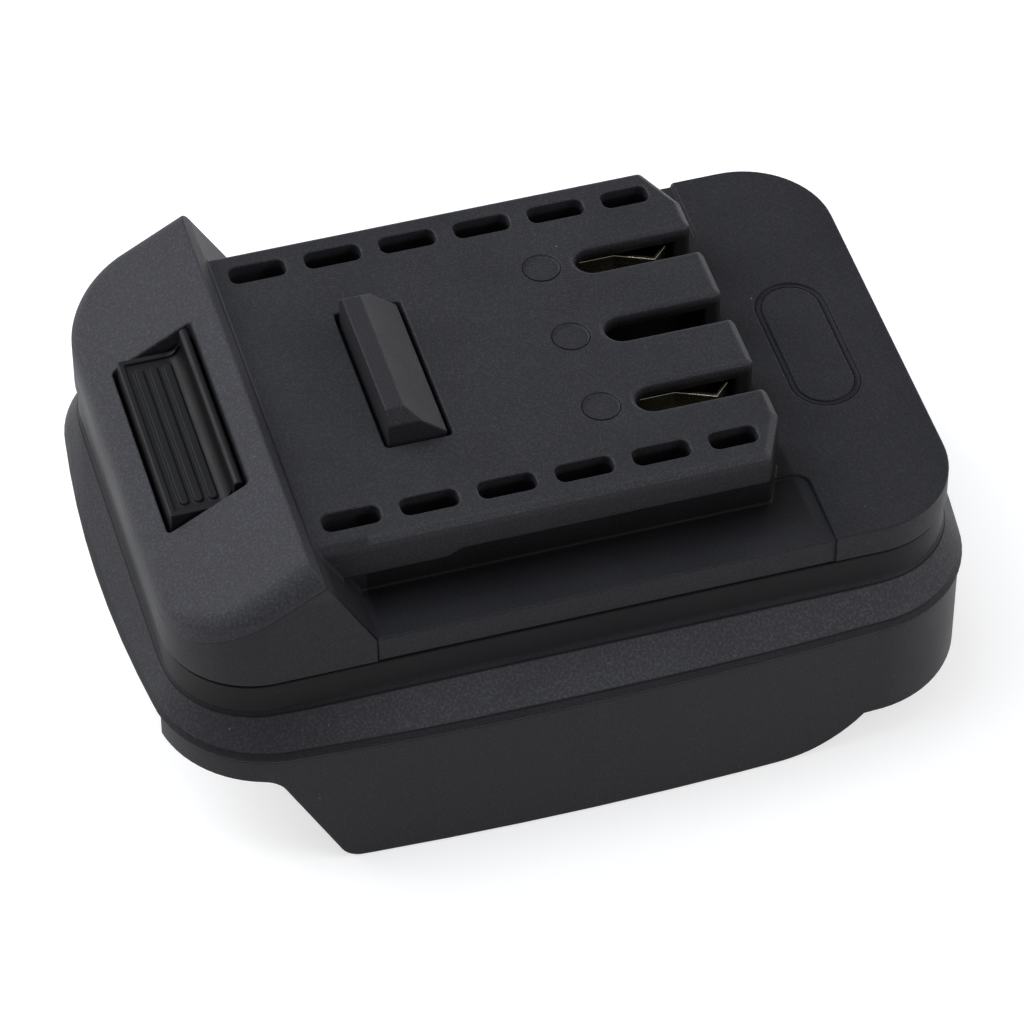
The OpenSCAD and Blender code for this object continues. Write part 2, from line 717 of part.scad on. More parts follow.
module top_housing() {
    pilot_d = screw_d + 2 * screw_gap;
    small_pilot_d = small_screw_d + 2 * screw_gap;
    color(charcoal) difference() {
        union() {
            difference() {
                union() {
                    difference() {
                        deck_block(deck_z);
                        side_recesses();
                    }
                    shoulder();
                    rail();
                }
                top_hollow();
            }
            top_ribs();
        }
        for (i = [-1 : 1]) translate([0, i * term_pitch, 0]) {
            terminal_slot();
            translate([term_x0 - mark_gap, 0, plate_z - mark_d]) cylinder(h = past, r = mark_r);
        }
        core_slots();
        deck_oval();
        // Windows for the hook and the button
        translate([0, 0, plate_under_z - past]) linear_extrude(plate_t + 2 * past)
            plan(hook_px - latch_gap, hook_px + hook_l + latch_gap, hook_w + 2 * latch_gap, latch_gap);
        translate([0, 0, arm_z]) linear_extrude(ridge_z - arm_z)
            plan(button_px, button_px + button_w, button_l, latch_gap);
        // Pilot holes
        housing_screw_places() translate([0, 0, boss_z - past])
            cylinder(h = seat_z + screw_l + past - boss_z + past, d = pilot_d);
        carrier_screw_places() translate([0, 0, carrier_z - past])
            cylinder(h = small_screw_l - carrier_t + 2 * past, d = small_pilot_d);
    }
}

// Side view of the room under the skirt, at the button end up to the toe and at the deck end
module skirt_gaps() {
    front_z = belt_h - skirt_button_h;
    slant_a = atan2(front_z, cheek_slant);
    toe_run = cheek_toe_r * tan(slant_a / 2);
    root_x = toe_x - cheek_slant;
    root_run = cheek_root_r * tan(slant_a / 2);
    polygon(concat(
        [[belt_x0 - past, -past], [belt_x0 - past, front_z]],
        arc([root_x - root_run, front_z - cheek_root_r], cheek_root_r, 90, 90 - slant_a),
        arc([toe_x + toe_run, cheek_toe_r], cheek_toe_r, 270 - slant_a, 270),
        [[toe_x + toe_run, -past]]));
    difference() {
        translate([heel_x, -past]) square([belt_x1 + past - heel_x, belt_h - skirt_deck_h + past]);
        translate([heel_x, cheek_r]) circle(cheek_r);
    }
}

// Hollow inside a cheek, open to the room above the floor
module cheek_hollow() {
    outer_y = body_w / 2 - belt_step - wall;
    inner_y = groove_w / 2 + wall;
    slant_x = wall * sqrt(1 + pow(cheek_slant / (belt_h - skirt_button_h), 2));
    front_z = belt_h - skirt_button_h;
    toe_in = toe_x + slant_x - cheek_slant * wall / front_z;
    translate([0, (outer_y + inner_y) / 2, 0]) across(outer_y - inner_y) {
        polygon([[toe_in, wall], [heel_x, wall], [heel_x, floor_z + past],
                 [toe_x - cheek_slant + slant_x, floor_z + past], [toe_x - cheek_slant + slant_x, front_z]]);
        intersection() {
            translate([heel_x, cheek_r]) circle(cheek_r - wall);
            translate([heel_x, 0]) square([cheek_r, floor_z + past]);
        }
    }
}

module base_outer() {
    translate([0, 0, band_z]) linear_extrude(rim_h - seam_step)
        plan(deck_x0 + rim_inset, deck_x1 - rim_inset, deck_w - 2 * rim_inset, deck_corner_r - rim_inset);
    translate([0, 0, seam_z - 2 * seam_step]) linear_extrude(2 * seam_step)
        plan(deck_x0 + rim_inset + seam_step, deck_x1 - rim_inset - seam_step,
             deck_w - 2 * rim_inset - 2 * seam_step, deck_corner_r - rim_inset - seam_step);
    // Flared band lofted from the rim outline to the bowed belt outline
    hull() {
        translate([0, 0, band_z]) linear_extrude(seam_step)
            plan(deck_x0 + rim_inset, deck_x1 - rim_inset, deck_w - 2 * rim_inset, deck_corner_r - rim_inset);
        translate([0, 0, belt_h]) linear_extrude(belt_step) belt_plan();
    }
    difference() {
        linear_extrude(belt_h + belt_step) belt_plan(belt_step);
        across(body_w + past) skirt_gaps();
    }
}

// Room above the floor, the channel with its grooves and the cored ends
module base_hollow() {
    in = rim_inset + wall;
    mouth_x = deck_x0;
    translate([0, 0, floor_z]) linear_extrude(seam_z - floor_z + past)
        plan(deck_x0 + in, deck_x1 - in, deck_w - 2 * in, deck_corner_r - in);
    box([-reach, -channel_w / 2, -past], [stop_px, channel_w / 2, ceiling_z]);
    box([-reach, -channel_w / 2, -past], [mouth_x, channel_w / 2, belt_h]);
    box([-reach, -groove_w / 2, lip_h], [stop_px - wall, groove_w / 2, lip_h + groove_h]);
    box([stop_px + wall, -end_hollow_w / 2, belt_h - skirt_deck_h + wall],
        [belt_x1 - belt_step - wall, end_hollow_w / 2, floor_z + past]);
    box([toe_x, -lock_pocket_w / 2, ceiling_z - past],
        [toe_x + lock_pocket_l, lock_pocket_w / 2, ceiling_z + lock_pocket_d]);
    both_sides() cheek_hollow();
}

module base_housing() {
    hole_d = screw_d + 2 * screw_gap;
    head_hole_d = screw_head_d + 4 * screw_gap;
    small_hole_d = small_screw_d + 2 * screw_gap;
    color(charcoal) difference() {
        union() {
            difference() {
                base_outer();
                base_hollow();
            }
            housing_screw_places() translate([0, 0, ceiling_z]) cylinder(h = boss_z - ceiling_z, d = boss_d);
            block_screw_places() translate([0, 0, ceiling_z])
                cylinder(h = boss_z - ceiling_z, d = small_boss_d);
            for (s = [-1, 1]) translate([spring_x, s * spring_pitch / 2, floor_z - floor_t / 2])
                cylinder(h = floor_t / 2 + peg_h, d = peg_d);
        }
        housing_screw_places() {
            translate([0, 0, ceiling_z - past]) cylinder(h = seat_z - ceiling_z + past, d = head_hole_d);
            translate([0, 0, ceiling_z]) cylinder(h = boss_z - ceiling_z + past, d = hole_d);
        }
        block_screw_places() translate([0, 0, ceiling_z - past])
            cylinder(h = small_screw_l - ear_t + 2 * past, d = small_hole_d);
        // Slots for the blade tabs
        for (s = [-1, 1]) translate([tab_x, s * blade_pitch / 2, ceiling_z + floor_t / 2])
            cube([tab_w + 2 * fit_gap, blade_t + 2 * fit_gap, floor_t + past], center = true);
    }
}

// Thumb button: a ribbed dish inside a thin rim, swept up to a wall at the high side
module release_button() {
    rim_z = slope_z(button_x0) + button_proud;
    high_z = slope_z(button_x1);
    color(gloss_black) {
        difference() {
            across(button_in_l) {
                polygon([[button_x0, arm_z], [button_x1, arm_z], [button_x1, high_z - button_wall / 2],
                         [button_x1 - button_wall, high_z - button_wall / 2], [button_x0, rim_z]]);
                translate([button_x1 - button_wall / 2, high_z - button_wall / 2]) circle(button_wall / 2);
            }
            across(button_in_l + past) scoop(button_x0 - past, rim_z);
            across(button_in_l - 2 * button_rim) scoop(button_x0 + button_rim, rim_z - dish_d);
        }
        for (i = [0 : rib_n - 1])
            translate([button_x0 + rib_x + i * rib_pitch, 0, rim_z - dish_d - wall / 2])
                linear_extrude(wall / 2 + rib_h) rotate(90) stadium(button_in_l - 2 * rib_end, rib_w);
    }
}

// Side view of the room above the button's dish, from x0 to the wall, with a swept foot
module scoop(x0, z) {
    wall_x = button_x1 - button_wall;
    translate([wall_x - scoop_r, z + scoop_r]) circle(scoop_r);
    translate([x0, z]) square([wall_x - scoop_r - x0, deck_w]);
    translate([x0, z + scoop_r]) square([wall_x - x0, deck_w]);
}

// Wedge that locks into the tool, on a cored column with an arm that carries the button
module lock_hook() {
    top_z = plate_z + hook_h;
    half = hook_w / 2;
    color(charcoal) {
        difference() {
            intersection() {
                across(hook_w)
                    polygon([[hook_px, arm_under_z], [hook_px, top_z], [hook_px + hook_flat, top_z],
                             [arm_x1, plate_z], [arm_x1, arm_under_z]]);
                along(hook_px - past, arm_x1 + past)
                    polygon([[-half, arm_under_z], [-half, top_z - hook_chamfer],
                             [-half + hook_chamfer, top_z], [half - hook_chamfer, top_z],
                             [half, top_z - hook_chamfer], [half, arm_under_z]]);
            }
            box([hook_px + wall, -half + wall, arm_under_z - past],
                [arm_x1 - wall, half - wall, plate_under_z]);
        }
        box([button_x0, -button_in_l / 2, arm_under_z], [hook_px + wall, button_in_l / 2, arm_z]);
        for (s = [-1, 1]) translate([spring_x, s * spring_pitch / 2, arm_under_z - peg_h])
            cylinder(h = peg_h + arm_t / 2, d = peg_d);
    }
}

// Closed tube along a list of points, with rings square to the path
module tube(points, d, sides) {
    n = len(points);
    function unit(v) = v / norm(v);
    function side_axis(t) = unit(cross(t, abs(t.z) > 0.9 ? [1, 0, 0] : [0, 0, 1]));
    rings = [for (i = [0 : n - 1])
        let (t = unit(points[min(i + 1, n - 1)] - points[max(i - 1, 0)]), u = side_axis(t), v = cross(t, u))
        for (k = [0 : sides - 1])
            let (a = 360 * k / sides) points[i] + d / 2 * (cos(a) * u + sin(a) * v)];
    walls = [for (i = [0 : n - 2], k = [0 : sides - 1])
        let (a = i * sides + k, b = i * sides + (k + 1) % sides)
        each [[a, a + sides, b], [b, a + sides, b + sides]]];
    polyhedron(rings, concat([[for (k = [0 : sides - 1]) k]], walls,
                             [[for (k = [sides - 1 : -1 : 0]) (n - 1) * sides + k]]));
}

// Compression spring between the floor and the latch arm
module latch_spring(s) {
    n = spring_turns * turn_rings;
    r = (spring_d - wire_d) / 2;
    z0 = floor_z + wire_d / 2 + spring_gap;
    rise = arm_under_z - floor_z - wire_d - 2 * spring_gap;
    color(tin) translate([spring_x, s * spring_pitch / 2, z0])
        tube([for (i = [0 : n])
            let (a = 360 * i / turn_rings) [r * cos(a), r * sin(a), rise * i / n]], wire_d, wire_sides);
}

module latch_spring_left() {
    latch_spring(1);
}

module latch_spring_right() {
    latch_spring(-1);
}

// Plate under the terminal bays that holds the two fork contacts
module contact_carrier() {
    color(charcoal) difference() {
        box([carrier_x0, -neck_in / 2 + fit_gap, carrier_under_z],
            [plate_x1 - wall - fit_gap, neck_in / 2 - fit_gap, carrier_z]);
        for (s = [-1, 1]) translate([fork_x0 + fork_t / 2, s * term_pitch, carrier_z])
            cube([fork_t + 2 * fit_gap, tab_w + 2 * fit_gap, 3 * carrier_t], center = true);
        carrier_screw_places() translate([0, 0, carrier_under_z - past])
            cylinder(h = carrier_t + 2 * past, d = small_screw_d + 2 * screw_gap);
        // Clear of the back housing screws' bosses
        housing_screw_places() translate([0, 0, boss_z])
            cylinder(h = rail_h + deck_h, d = boss_d + 2 * fit_gap);
    }
}

// Fork contact of bent strip: back web with a tab, two leaves that close to a grip and open again
module fork_contact(s) {
    grip_x = plate_x1 - fork_grip_x;
    mouth_x = plate_x1 - fork_mouth_x;
    knee_x = grip_x - fork_close_l;
    color(bronze) translate([0, s * term_pitch, 0]) {
        translate([0, 0, carrier_z]) {
            linear_extrude(fork_h) both_leaves(knee_x, grip_x, mouth_x);
            translate([fork_x0, -fork_w / 2, 0]) cube([fork_t, fork_w, fork_h]);
        }
        translate([fork_x0, -tab_w / 2, lead_z - tab_w / 2])
            cube([fork_t, tab_w, carrier_z - lead_z + tab_w / 2 + past]);
    }
}

module both_leaves(knee_x, grip_x, mouth_x) {
    for (s = [0, 1]) mirror([0, s])
        polygon([[fork_x0, fork_w / 2 - fork_t], [knee_x, fork_w / 2 - fork_t], [grip_x, fork_grip / 2],
                 [mouth_x, fork_mouth / 2], [mouth_x, fork_mouth / 2 + fork_t],
                 [grip_x, fork_grip / 2 + fork_t], [knee_x, fork_w / 2], [fork_x0, fork_w / 2]]);
}

module contact_positive() {
    fork_contact(1);
}

module contact_negative() {
    fork_contact(-1);
}

module carrier_screws() {
    color(tin) carrier_screw_places() translate([0, 0, carrier_under_z])
        screw(small_screw_d, small_head_d, small_screw_l);
}

// Moulded block at the end of the channel that holds the two blades
module terminal_block() {
    body = block_body_w / 2;
    color(charcoal) difference() {
        union() {
            box([block_x0, -body, block_z], [stop_px, body, ceiling_z]);
            box([block_x0, -block_w / 2, ceiling_z - ear_t], [stop_px, block_w / 2, ceiling_z]);
        }
        for (s = [-1, 1]) translate([0, s * blade_pitch / 2 - blade_t / 2 - fit_gap, 0])
            box([block_x0 - past, 0, blade_z - fit_gap],
                [tab_x + tab_w / 2 + fit_gap, blade_t + 2 * fit_gap, ceiling_z + past]);
        block_screw_places() translate([0, 0, block_z])
            cylinder(h = block_h + past, d = small_screw_d + 2 * screw_gap);
    }
}

// Flat blade with a tab that stands up through the floor
module blade(s) {
    color(bronze) translate([0, s * blade_pitch / 2, 0]) across(blade_t)
        polygon([[block_x0 - blade_l, blade_z + blade_t], [block_x0 - blade_l + blade_t, blade_z],
                 [tab_x + tab_w / 2, blade_z], [tab_x + tab_w / 2, lead_z + tab_w / 2],
                 [tab_x - tab_w / 2, lead_z + tab_w / 2], [tab_x - tab_w / 2, blade_z + blade_h],
                 [block_x0 - blade_l + blade_t, blade_z + blade_h],
                 [block_x0 - blade_l, blade_z + blade_h - blade_t]]);
}

module blade_positive() {
    blade(1);
}

module blade_negative() {
    blade(-1);
}

module block_screws() {
    color(tin) block_screw_places() translate([0, 0, ceiling_z - ear_t])
        screw(small_screw_d, small_head_d, small_screw_l);
}

module housing_screws() {
    color(tin) housing_screw_places() translate([0, 0, seat_z]) screw(screw_d, screw_head_d, screw_l);
}

module lead_positive() {
    color(red) tube(lead_path(1), lead_d, lead_sides);
}

module lead_negative() {
    color(black) tube(lead_path(-1), lead_d, lead_sides);
}

// Shrink sleeves over both ends of a lead, next to the solder
module sleeves(s) {
    in_d = lead_d + fit_gap;
    sleeve_gap = solder_l + sleeve_t;
    for (end = [[lead_x0 + sleeve_gap, s * term_pitch], [lead_x1 - sleeve_l, s * blade_pitch / 2]])
        translate([end.x, end.y, lead_z]) rotate([0, 90, 0]) difference() {
            cylinder(h = sleeve_l - sleeve_gap, d = in_d + 2 * sleeve_t);
            translate([0, 0, -past]) cylinder(h = sleeve_l + past, d = in_d);
        }
}

module sleeve_positive() {
    color(red) sleeves(1);
}

module sleeve_negative() {
    color(black) sleeves(-1);
}

// Solder rings where the leads meet the tabs
module solder_joints() {
    in_d = lead_d + fit_gap;
    color(tin) for (s = [-1, 1], end = [[lead_x0, s * term_pitch, 1], [lead_x1, s * blade_pitch / 2, -1]])
        translate([end.x, end.y, lead_z]) rotate([0, 90 * end.z, 0]) difference() {
            cylinder(h = solder_l, d1 = in_d + 2 * solder_l, d2 = in_d + solder_l / 2);
            translate([0, 0, -past]) cylinder(h = solder_l + 2 * past, d = in_d);
        }
}

top_housing();
base_housing();
release_button();
lock_hook();
latch_spring_left();
latch_spring_right();
contact_carrier();
contact_positive();
contact_negative();
carrier_screws();
terminal_block();
blade_positive();
blade_negative();
block_screws();
housing_screws();
lead_positive();
lead_negative();
sleeve_positive();
sleeve_negative();
solder_joints();
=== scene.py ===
"""Looks of a battery adapter for cordless tools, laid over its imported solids.

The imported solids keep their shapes. Modifiers give each its small moulded, bent or turned
edges, and each gets a material worked out from what the real piece is made of. A plain pale
stage lights them. Lengths are in metres in the frame of the solids: X runs along the rails
from the button to the plain deck, Y across them, and Z up from the feet.
"""

import math

import bpy
import numpy as np
from bpy.props import FloatProperty, FloatVectorProperty, PointerProperty
from mathutils import Matrix, Vector


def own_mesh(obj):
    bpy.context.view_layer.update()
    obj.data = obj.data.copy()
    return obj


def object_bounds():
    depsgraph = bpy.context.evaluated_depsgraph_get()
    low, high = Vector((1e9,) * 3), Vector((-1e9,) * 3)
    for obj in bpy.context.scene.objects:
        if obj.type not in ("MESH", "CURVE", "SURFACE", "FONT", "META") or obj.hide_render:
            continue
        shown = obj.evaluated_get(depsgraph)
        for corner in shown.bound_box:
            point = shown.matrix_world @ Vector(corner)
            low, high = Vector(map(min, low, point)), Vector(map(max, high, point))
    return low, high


bl_info = {
    "name": "Battery Adapter Looks",
    "version": (1, 0, 0),
    "blender": (4, 5, 0),
    "location": "View3D > Sidebar > Adapter",
    "description": "Moulded finishes, soft edges and a studio stage for a tool battery adapter",
    "category": "Object",
}

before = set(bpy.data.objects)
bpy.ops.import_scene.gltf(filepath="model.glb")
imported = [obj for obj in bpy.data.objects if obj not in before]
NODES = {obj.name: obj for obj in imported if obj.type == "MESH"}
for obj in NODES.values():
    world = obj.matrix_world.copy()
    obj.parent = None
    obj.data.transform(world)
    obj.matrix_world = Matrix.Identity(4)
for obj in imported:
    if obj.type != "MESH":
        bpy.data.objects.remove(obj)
CAD_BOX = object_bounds()

MM = 0.001
# Top line of the sloping shoulder, in X and Z, and how far the face falls towards the button end
RIDGE = Vector((-34.5 * MM, 0, CAD_BOX[1][2] - 1.1 * MM))
SHOULDER_FALL = math.radians(30)
# Depth of the rolled edge round the shoulder, where its grain ends
SHOULDER_ROLL = 3.4 * MM
# Top of the rail plate, the depth of the bevels round it, and the level where they start
PLATE_TOP = 45.7 * MM
BEVEL_DEPTH = 1.2 * MM
PLATE_RIM = PLATE_TOP - BEVEL_DEPTH
# How far n.z is from that of a bevel where none and all of its painted highlight shows, and how much
# paler that is
BEVEL_LEAN = (0.3, 0.15)
LIT_BEVEL_TONE = 1.5
# Where the plate leaves the shoulder, its far end, and the outer wall of its neck
PLATE_START = -26 * MM
PLATE_END = 31.5 * MM
NECK = 25.3 * MM
# How far the painted shade spreads out from the neck, its levels in the slots and in the grooves, and
# its tone
SHADE_REACH = 8 * MM
SHADE_LEVELS = (44.6 * MM, 39.6 * MM)
SHADE_TONE = 0.45
# Where the wall of the button's trough starts in X, and its top, which bound the painted shade in the
# trough
TROUGH_WALL = -40.9 * MM
TROUGH_TOP = 46.9 * MM
# Lower and upper edge of the grain on the flared band round the body
BAND_FOOT = 21.5 * MM
BAND_HEAD = 26 * MM
# Stretch along X over which painted shade darkens the band towards the button end, and the tone left
# there
END_SHADE_SPAN = (-20 * MM, -44 * MM)
END_SHADE_TONE = 0.6
# Width over which coarse grain fades out at its edge
GRAIN_EDGE = 0.4 * MM

# Usual range of a noise, and the part of it that makes the worn tops of the grain
NOISE_SPAN = (0.3, 0.7)
GRAIN_TOPS = (0.45, 0.75)
# Refraction of nylon, and the share of the usual sheen that its micro-rough skin keeps
NYLON_IOR = 1.53
NYLON_SHEEN = 0.12
# Roughness of fine and of coarse grain, the depth of the coarse, and the fine as a share of it
NYLON_ROUGHNESS = (0.52, 0.64)
GRAIN_DEPTH = 0.1 * MM
FINE_RELIEF = 0.25
# Width and tones of the marks that the melt's flow leaves
FLOW_WIDTH = 12 * MM
FLOW_TONES = (0.86, 1.0)
# Strength of the painted shade line along the edge of the coarse grain
EDGE_SHADE = -3.0
# Dust: one speck to each cell, its inner and outer radius in cells, and how much it covers
SPECK_CELL = 6 * MM
SPECK_REACH = (0.014, 0.022)
SPECK_COVER = 0.8
# Darkest tone of the plain nylon
PIT_TONE = 0.9

# Finishing of the solids: gap that is closed, turn that counts as flat, sides past which a face is
# cut, and steps of a rounded edge
WELD_GAP = 0.002 * MM
FLAT_TURN = math.radians(0.3)
CUT_SIDES = 30
EDGE_STEPS = 3

# Strength of the sky at the horizon and overhead, and the rise over which it changes
SKY_STRENGTH = (0.4, 0.35)
SKY_RISE = (0.12, 0.62)
# Lamps: name, direction from the object, distance and sizes in metres, power in watts, colour
LAMPS = (
    ("left_box", (-0.62, 0.5, 0.6), 1.0, (0.7, 0.5), 5.5, (1, 1, 1)),
    ("left_strip", (-0.75, 0.66, 0.1), 1.0, (0.8, 0.25), 0.9, (1, 1, 1)),
    ("right_strip", (0.72, 0.66, 0.12), 1.0, (0.8, 0.25), 1.6, (1, 1, 1)),
    ("front_box", (0.75, -0.5, 0.45), 0.45, (0.25, 0.2), 0.5, (1, 1, 1)),
    ("top_box", (-0.3, 0.1, 0.95), 1.0, (0.6, 0.6), 4.0, (0.92, 0.98, 1.12)),
)
# Radius of the floor, and its gap under the feet
FLOOR_RADIUS = 3.0
FLOOR_GAP = 0.05 * MM
SENSOR_WIDTH = 36


def linear(hex_colour):
    """Turns an sRGB hex colour into the linear values that shaders take."""
    srgb = np.array([int(hex_colour[i : i + 2], 16) for i in (1, 3, 5)]) / 255
    curve = np.where(srgb <= 0.04045, srgb / 12.92, ((srgb + 0.055) / 1.055) ** 2.4)
    return tuple(float(v) for v in curve)


def opaque(colour):
    """Adds full alpha to a colour property."""
    return (*colour, 1.0)


def tint(name, description, hex_colour):
    """Colour property whose default is an sRGB hex value."""
    return FloatVectorProperty(
        name=name, description=description, subtype="COLOR", default=linear(hex_colour), min=0, max=1
    )


def width(name, description, default, least=0.0):
    """Length property with enough digits for hundredths of a millimetre."""
    return FloatProperty(
        name=name, description=description, unit="LENGTH", precision=6, default=default, min=least
    )


class HousingLook(bpy.types.PropertyGroup):
    """Colour, grain and edges of the moulded housings."""

    colour: tint("Plastic", "Colour of the smooth moulded faces", "#262629")
    shoulder_colour: tint(
        "Shoulder", "Colour of the coarse shoulder, which scatters more light", "#36363a"
    )
    band_colour: tint(
        "Band", "Colour of the coarse flared band, which scatters more light", "#3d3d41"
    )
    # Painted light: the plate's top takes this paler colour and the faces below it take the darker
    # one, as painted shade; the hook and the holders take this colour too
    lit_top_and_plain_colour: tint(
        "Scuffed plastic",
        "Colour of smooth faces that slide in a tool, which are scuffed paler",
        "#2c2c2f",
    )
    # Painted shade: the rim under the seam takes this darker colour
    rim_shade_colour: tint("Rim", "Colour of the smoother rim above the flared band", "#141416")
    dust_colour: tint("Dust", "Colour of the few specks of dust", "#77777a")
    grain: width(
        "Coarse grain",
        "Width of the spark-eroded grain on the shoulder and the flared band",
        0.34 * MM,
        0.05 * MM,
    )
    fine_grain: width(
        "Fine grain", "Width of the grain on all other moulded faces", 0.2 * MM, 0.05 * MM
    )
    wear: FloatProperty(
        name="Wear",
        description="How much paler the worn tops of the grain are than its pits",
        default=0.8,
        min=0,
    )
    edge: width("Edge", "Width of the rounding along moulded edges", 0.3 * MM)


class LatchLook(bpy.types.PropertyGroup):
    """Colour and edges of the button and the hook."""

    button_colour: tint("Button", "Colour of the satin thumb button", "#202022")
    edge: width(
        "Edge", "Width of the rounding along the edges of the button and the hook", 0.2 * MM
    )


class MetalLook(bpy.types.PropertyGroup):
    """Colours and edges of the metal pieces."""

    contact_colour: tint("Contacts", "Colour of the stamped contact strip", "#d2cbb2")
    steel_colour: tint("Steel", "Colour of the plated screws and the spring wire", "#b9bcc2")
    solder_colour: tint("Solder", "Colour of the soldered joints", "#c6c7c9")
    edge: width("Edge", "Width of the rounding along stamped and turned edges", 0.08 * MM)


class WiringLook(bpy.types.PropertyGroup):
    """Colours of the two inner leads."""

    positive_colour: tint("Positive", "Colour of the positive lead and its sleeves", "#a3201c")
    negative_colour: tint("Negative", "Colour of the negative lead and its sleeves", "#1c1c1e")


class StageLook(bpy.types.PropertyGroup):
    """Camera, floor and light."""

    azimuth: FloatProperty(
        name="Azimuth",
        description="Turn of the camera about Z from straight in front of the near long side",
        subtype="ANGLE",
        default=math.radians(-16.478),
    )
    elevation: FloatProperty(
        name="Elevation",
        description="Height of the camera above the level of the object, as an angle",
        subtype="ANGLE",
        default=math.radians(46.322),
    )
    distance: FloatProperty(
        name="Distance",
        description="Distance of the camera from the point that it looks at",
        unit="LENGTH",
        default=676.31 * MM,
    )
    target: FloatVectorProperty(
        name="Target",
        description="Point in the middle of the picture",
        subtype="XYZ",
        unit="LENGTH",
        precision=5,
        default=(-7.79 * MM, -27.96 * MM, 46.2 * MM),
    )
    lens: FloatProperty(
        name="Lens",
        description="Focal length for a sensor 36 mm wide",
        default=193.36,
    )
    floor_colour: tint("Floor", "Colour of the floor", "#c8c8c8")
    lift: FloatProperty(
        name="Floor lift",
        description="Light of its own that lifts the floor to white for eye and mirror rays",
        default=0.6,
        min=0,
        max=1,
    )


# Setting of a map range that rises smoothly
SMOOTH = {"interpolation_type": "SMOOTHSTEP"}


def add(tree, kind, inputs=(), **settings):
    """Adds a shader node with its settings, sets or links its inputs, and gives its outputs.

    Inputs stand in a dict by name or number, or in a tuple in the order of the sockets. For a map
    range, that is the value, the range that it comes from and the range that it goes to."""
    node = tree.nodes.new("ShaderNode" + kind)
    for key, value in settings.items():
        setattr(node, key, value)
    for key, value in inputs.items() if isinstance(inputs, dict) else enumerate(inputs):
        if isinstance(value, bpy.types.NodeSocket):
            tree.links.new(value, node.inputs[key])
        else:
            node.inputs[key].default_value = value
    return node.outputs


def blank_material(name, **constants):
    """Makes a material of one shader and sets the shader's constant inputs.

    Gives the material, its tree, its shader and the place on the object."""
    material = bpy.data.materials.new(name)
    material.use_nodes = True
    tree = material.node_tree
    shader = tree.nodes["Principled BSDF"]
    for key, value in constants.items():
        shader.inputs[key.replace("_", " ")].default_value = value
    return material, tree, shader, add(tree, "TexCoord")["Object"]


def wire(tree, shader, **results):
    """Links what was worked out to the shader's inputs."""
    for key, result in results.items():
        tree.links.new(result, shader.inputs[key.replace("_", " ")])


def overlap(tree, mask, *others):
    """Mask of the places that lie in all the given masks: their product."""
    for other in others:
        mask = add(tree, "Math", (mask, other), operation="MULTIPLY")[0]
    return mask


def shoulder_grain(tree, place):
    """Mask of the shoulder's coarse grain: 1 above the lower end of the rolled edge.

    The distance from the sloping face is (p - ridge) . n, with n the face's normal."""
    normal = Vector((-math.sin(SHOULDER_FALL), 0, math.cos(SHOULDER_FALL)))
    above = add(tree, "VectorMath", (place, normal), operation="DOT_PRODUCT")["Value"]
    level = RIDGE.dot(normal) - SHOULDER_ROLL
    return add(tree, "MapRange", (above, level, level + GRAIN_EDGE), **SMOOTH)[0]


def band_grain(tree, place):
    """Mask of the flared band's coarse grain: 1 between its foot and its head."""
    height = add(tree, "SeparateXYZ", (place,))["Z"]
    offset = add(tree, "Math", (height, (BAND_FOOT + BAND_HEAD) / 2), operation="SUBTRACT")[0]
    away = add(tree, "Math", (offset,), operation="ABSOLUTE")[0]
    reach = (BAND_HEAD - BAND_FOOT) / 2
    return add(tree, "MapRange", (away, reach, reach - GRAIN_EDGE), **SMOOTH)[0]


def plate_top_light(tree, place):
    """Mask of the top of the rail plate and its bevels, painted lighter than the faces below them,
    which stand in painted shade.
    """
    height = add(tree, "SeparateXYZ", (place,))["Z"]
    return add(tree, "MapRange", (height, PLATE_RIM - 2 * GRAIN_EDGE, PLATE_RIM), **SMOOTH)[0]


def rim_shade(tree, place):
    """Mask of the rim above the flared band, which gets painted shade."""
    height = add(tree, "SeparateXYZ", (place,))["Z"]
    return add(tree, "MapRange", (height, BAND_HEAD, BAND_HEAD + 2 * GRAIN_EDGE), **SMOOTH)[0]


def button_end_shade(tree, place):
    """Tone of the base: 1, and less above the foot of the band towards the button end, where shade is
    painted.
    """
    axes = add(tree, "SeparateXYZ", (place,))
    shaded = add(tree, "MapRange", (axes["X"], *END_SHADE_SPAN), **SMOOTH)[0]
    upper = add(tree, "MapRange", (axes["Z"], BAND_FOOT - 2 * GRAIN_EDGE, BAND_FOOT), **SMOOTH)[0]
    return add(tree, "MapRange", (overlap(tree, shaded, upper), 0, 1, 1, END_SHADE_TONE))[0]


def plate_groove_shade(tree, axes):
    """Mask of the painted shade in the rail plate's slots and in the grooves beside its neck.

    It lies deeper than a level that drops from the slots' to the grooves' at the wall of the
    neck, and thins outwards from there."""
    out = add(tree, "Math", (axes["Y"],), operation="ABSOLUTE")[0]
    level = add(tree, "MapRange", (out, NECK - GRAIN_EDGE, NECK, *SHADE_LEVELS))[0]
    depth = add(tree, "Math", (level, axes["Z"]), operation="SUBTRACT")[0]
    deep = add(tree, "MapRange", (depth, 0, 2 * GRAIN_EDGE), **SMOOTH)[0]
    near = add(tree, "MapRange", (out, NECK + SHADE_REACH, NECK), **SMOOTH)[0]
    ahead = add(tree, "MapRange", (axes["X"], PLATE_START, PLATE_START + GRAIN_EDGE), **SMOOTH)[0]
    behind = add(tree, "MapRange", (axes["X"], PLATE_END, PLATE_END - 2 * GRAIN_EDGE), **SMOOTH)[0]
    return overlap(tree, deep, near, ahead, behind)


